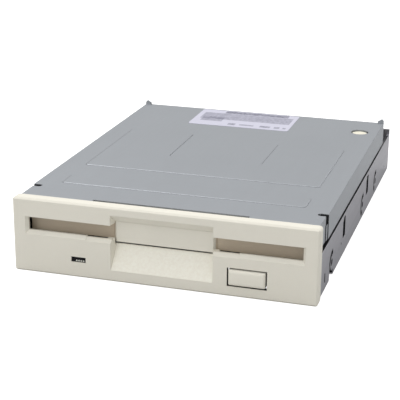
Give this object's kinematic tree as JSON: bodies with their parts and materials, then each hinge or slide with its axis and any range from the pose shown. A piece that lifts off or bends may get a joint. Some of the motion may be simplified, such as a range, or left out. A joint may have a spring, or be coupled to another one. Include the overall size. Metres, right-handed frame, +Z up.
{
  "type": "floppy disk drive",
  "caption": "Three and a half inch floppy disk drive with a sprung slot shutter, eject button, disk holder, spindle and stepping head carriage, empty and ejected.",
  "frame": {"origin": "middle of the bounding box on the surface the drive stands on", "axes": "+Z up, -Y towards the front bezel, +Y towards the connectors, +X to the right seen from the front"},
  "size_m": [0.1016, 0.1508, 0.0266],
  "materials": {
    "sheet_steel": "satin",
    "cover_steel": "satin",
    "bright_steel": "satin",
    "bezel_plastic": "matte",
    "shutter_plastic": "matte",
    "button_plastic": "matte",
    "smoked_lens": "gloss",
    "lamp_plastic": "gloss",
    "label_paper": "matte",
    "post_plastic": "matte",
    "dark_plastic": "matte",
    "carriage_plastic": "matte",
    "connector_plastic": "matte",
    "pale_plastic": "matte",
    "brass_metal": "satin",
    "gold_pins": "polished",
    "tinned_metal": "polished",
    "spring_steel": "polished",
    "magnet_ferrite": "matte",
    "core_laminations": "satin",
    "copper_windings": "gloss",
    "motor_board_laminate": "satin",
    "main_board_laminate": "satin",
    "head_ceramic": "polished",
    "capacitor_sleeve": "gloss",
    "screw_steel": "satin"
  },
  "bodies": {
    "frame": {"chassis": "sheet_steel", "top_cover": "cover_steel", "cover_label": "label_paper", "cover_post": "post_plastic", "front_bezel": "bezel_plastic", "lamp_window": "smoked_lens", "activity_lamp": "lamp_plastic", "lamp_leads": "tinned_metal", "shutter_spring": "spring_steel", "return_springs": "spring_steel", "datum_posts": "bright_steel", "spindle_bearing": "brass_metal", "stator_core": "core_laminations", "stator_coils": "copper_windings", "motor_board": "motor_board_laminate", "guide_rods": "bright_steel", "rod_clamps": "bright_steel", "stepper_motor": "cover_steel", "motor_bracket": "bright_steel", "screw_bearing": "pale_plastic", "track_sensor": "dark_plastic", "sensor_switches": "dark_plastic", "main_board": "main_board_laminate", "signal_connector": "connector_plastic", "signal_pins": "gold_pins", "power_connector": "pale_plastic", "power_pins": "tinned_metal", "control_chips": "dark_plastic", "chip_leads": "tinned_metal", "capacitors": "capacitor_sleeve", "motor_ribbon": "pale_plastic", "ribbon_sockets": "pale_plastic", "screws": "screw_steel"},
    "slide_unit": {"eject_button": "button_plastic", "slide_plate": "bright_steel"},
    "holder": {"disk_holder": "bright_steel", "guide_pins": "bright_steel", "latch_rivet": "bright_steel", "latch_spring": "spring_steel"},
    "lever": {"latch_lever": "brass_metal"},
    "shutter": {"slot_shutter": "shutter_plastic"},
    "spindle": {"spindle_shaft": "bright_steel", "spindle_hub": "bright_steel", "hub_magnet": "magnet_ferrite", "rotor_cup": "cover_steel", "rotor_magnet": "magnet_ferrite"},
    "hub_pin": {"drive_pin": "bright_steel"},
    "carriage": {"head_carriage": "carriage_plastic", "lower_head": "head_ceramic", "screw_follower": "bright_steel", "arm_pivot_pin": "bright_steel"},
    "arm": {"head_arm": "carriage_plastic", "upper_head": "head_ceramic", "arm_spring": "spring_steel"},
    "screw": {"lead_screw": "bright_steel"},
    "write_protect_switch": {"write_protect_plunger": "pale_plastic"},
    "disk_present_switch": {"disk_present_plunger": "pale_plastic"},
    "density_switch": {"density_plunger": "pale_plastic"}
  },
  "joints": [
    {"name": "eject_slide", "type": "slide", "parent": "frame", "child": "slide_unit", "axis": [0, -1, 0], "range_m": [-0.0003, 0.0055], "deforming": ["return_springs"]},
    {"name": "holder_drop", "type": "slide", "parent": "frame", "child": "holder", "axis": [0, 0, -1], "range_m": [-0.00014, 0.00241]},
    {"name": "latch_lever_turn", "type": "hinge", "parent": "holder", "child": "lever", "pos_m": [-0.034, 0.0135, 0.0204], "axis": [0, 0, 1], "range_deg": [0, 57], "stiffness_Nm_per_rad": 0.002, "springref_deg": -17.19, "deforming": ["latch_spring"]},
    {"name": "shutter_hinge", "type": "hinge", "parent": "frame", "child": "shutter", "pos_m": [0, -0.0698, 0.0206], "axis": [1, 0, 0], "range_deg": [0, 80], "stiffness_Nm_per_rad": 0.001, "springref_deg": -22.92, "deforming": ["shutter_spring"]},
    {"name": "spindle_spin", "type": "hinge", "parent": "frame", "child": "spindle", "pos_m": [0, -0.024, 0.01], "axis": [0, 0, 1], "continuous": true},
    {"name": "drive_pin_press", "type": "slide", "parent": "spindle", "child": "hub_pin", "axis": [0, 0, -1], "range_m": [0, 0.0012], "stiffness_N_per_m": 300, "springref_m": -0.0005},
    {"name": "head_travel", "type": "slide", "parent": "frame", "child": "carriage", "axis": [0, -1, 0], "range_m": [0, 0.0148]},
    {"name": "arm_turn", "type": "hinge", "parent": "carriage", "child": "arm", "pos_m": [0, 0.0407, 0.0166], "axis": [1, 0, 0], "range_deg": [-1, 10.1]},
    {"name": "lead_screw_turn", "type": "hinge", "parent": "frame", "child": "screw", "pos_m": [-0.0245, 0.0255, 0.0102], "axis": [0, 1, 0], "range_deg": [0, 1422]},
    {"name": "write_protect_press", "type": "slide", "parent": "frame", "child": "write_protect_switch", "axis": [0, 0, -1], "range_m": [0, 0.0012], "stiffness_N_per_m": 100, "springref_m": -0.0005},
    {"name": "disk_present_press", "type": "slide", "parent": "frame", "child": "disk_present_switch", "axis": [0, 0, -1], "range_m": [0, 0.0012], "stiffness_N_per_m": 100, "springref_m": -0.0005},
    {"name": "density_press", "type": "slide", "parent": "frame", "child": "density_switch", "axis": [0, 0, -1], "range_m": [0, 0.0012], "stiffness_N_per_m": 100, "springref_m": -0.0005}
  ],
  "couplings": [
    {"joint": "holder_drop", "follows": "eject_slide", "ratio": 0.43636},
    {"joint": "arm_turn", "follows": "eject_slide", "rad_per_m": 31.733},
    {"joint": "lead_screw_turn", "follows": "head_travel", "rad_per_m": 1675.5}
  ]
}
